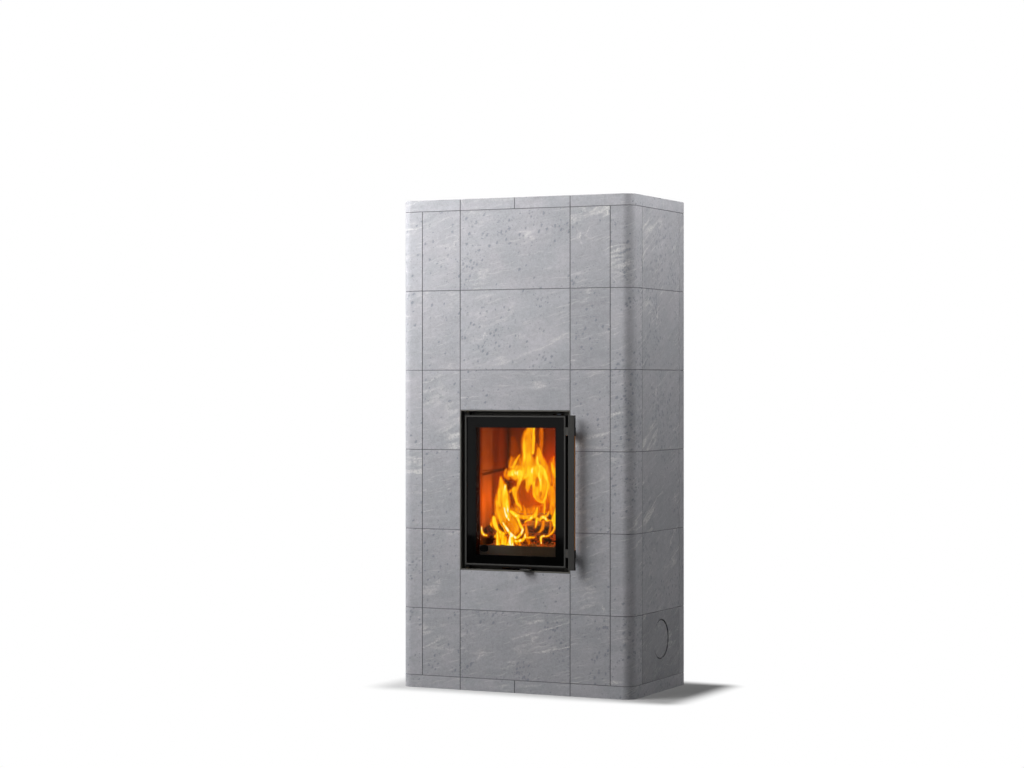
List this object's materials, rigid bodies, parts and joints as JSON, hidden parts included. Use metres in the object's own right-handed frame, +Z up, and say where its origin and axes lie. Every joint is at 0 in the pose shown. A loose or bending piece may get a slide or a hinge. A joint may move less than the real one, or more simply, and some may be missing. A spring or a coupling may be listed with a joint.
{
  "type": "soapstone masonry heater",
  "caption": "Tall soapstone masonry heater with a glazed steel door, bar handle, air lever, side cleanout plugs and a brick core.",
  "frame": {"origin": "middle of the base, on the floor", "axes": "X to the right seen from the front, Y to the back, Z up; the door faces -Y"},
  "size_m": [0.95, 0.553, 1.845],
  "materials": {
    "facing_soapstone": "fine sawn and lightly honed soapstone with pale veins",
    "core_soapstone": "sawn, heat darkened",
    "insulation_board": "pressed mineral fibre",
    "black_steel": "matt heat resistant paint",
    "zinc_plated_steel": "zinc plated",
    "bearing_brass": "turned",
    "bare_steel": "rolled sheet, heat blued",
    "flue_steel": "matt black, rolled sheet",
    "printed_door_glass": "clear ceramic glass with a black printed border",
    "glass_fibre_tape": "woven, black",
    "glass_fibre_rope": "braided, grey black",
    "oiled_wood": "oiled hardwood",
    "cast_iron": "as cast, burnt"
  },
  "bodies": {
    "heater": {"air_riser_cheeks": "core_soapstone", "ash_pit_blocks": "core_soapstone", "back_panels_left": "facing_soapstone", "back_panels_right": "facing_soapstone", "base_blocks": "core_soapstone", "catch_block": "bare_steel", "catch_spring": "zinc_plated_steel", "ceiling_posts": "core_soapstone", "ceiling_slabs": "core_soapstone", "cleanout_panel_left": "facing_soapstone", "cleanout_panel_right": "facing_soapstone", "corner_blocks_left": "facing_soapstone", "corner_blocks_right": "facing_soapstone", "door_lintel_stone": "facing_soapstone", "door_sill_stone": "facing_soapstone", "door_surround": "black_steel", "firebox_back_wall": "core_soapstone", "firebox_lintel": "core_soapstone", "firebox_wall_left": "core_soapstone", "firebox_wall_right": "core_soapstone", "flue_collar": "flue_steel", "flue_panel": "facing_soapstone", "front_base_stone": "facing_soapstone", "front_panels_left": "facing_soapstone", "front_panels_right": "facing_soapstone", "front_upper_stones": "facing_soapstone", "hearth_slabs": "core_soapstone", "hearth_support_slab": "core_soapstone", "hinge_collars": "bearing_brass", "hinge_pins": "zinc_plated_steel", "log_guard": "black_steel", "plinth_end_slabs": "facing_soapstone", "plinth_middle_left_slab": "facing_soapstone", "plinth_middle_right_slab": "facing_soapstone", "rear_insulation_board": "insulation_board", "side_panels_left": "facing_soapstone", "side_panels_right": "facing_soapstone", "throat_stones": "core_soapstone", "top_end_slabs": "facing_soapstone", "top_middle_left_slab": "facing_soapstone", "top_middle_right_slab": "facing_soapstone", "upper_chamber_walls": "core_soapstone"},
    "door": {"door_outer_frame": "black_steel", "door_inner_frame": "black_steel", "door_glass": "printed_door_glass", "glass_tapes": "glass_fibre_tape", "door_seal_rope": "glass_fibre_rope", "door_frame_screws": "zinc_plated_steel", "handle_front_plate": "black_steel", "handle_end_blocks": "black_steel", "handle_wood_strip": "oiled_wood", "handle_arms": "black_steel", "handle_screws": "zinc_plated_steel"},
    "catch_plunger": {"catch_plunger": "zinc_plated_steel"},
    "air_control": {"air_lever": "black_steel", "air_shutter": "bare_steel"},
    "grate": {"grate": "cast_iron"},
    "ash_pan": {"ash_pan": "bare_steel"},
    "cleanout_plug_left": {"cleanout_plug_left": "facing_soapstone"},
    "cleanout_plug_right": {"cleanout_plug_right": "facing_soapstone"}
  },
  "joints": [
    {"name": "door_hinge", "type": "hinge", "parent": "heater", "child": "door", "pos_m": [-0.2, -0.24, 0.75], "axis": [0, 0, -1], "range_deg": [0, 110]},
    {"name": "catch_slide", "type": "slide", "parent": "heater", "child": "catch_plunger", "axis": [0, 0, 1], "range_m": [0, 0.004], "stiffness_N_per_m": 1500, "springref_m": -0.003, "deforming": ["catch_spring"]},
    {"name": "air_lever_slide", "type": "slide", "parent": "heater", "child": "air_control", "axis": [1, 0, 0], "range_m": [-0.104, 0]},
    {"name": "grate_lift", "type": "slide", "parent": "heater", "child": "grate", "axis": [0, 0, 1], "range_m": [0, 0.15]},
    {"name": "ash_pan_lift", "type": "slide", "parent": "heater", "child": "ash_pan", "axis": [0, 0, 1], "range_m": [0, 0.126]},
    {"name": "cleanout_plug_left_slide", "type": "slide", "parent": "heater", "child": "cleanout_plug_left", "axis": [-1, 0, 0], "range_m": [0, 0.06]},
    {"name": "cleanout_plug_right_slide", "type": "slide", "parent": "heater", "child": "cleanout_plug_right", "axis": [1, 0, 0], "range_m": [0, 0.06]}
  ],
  "couplings": [
    {"joint": "ash_pan_lift", "follows": "grate_lift", "ratio": 0.84}
  ]
}
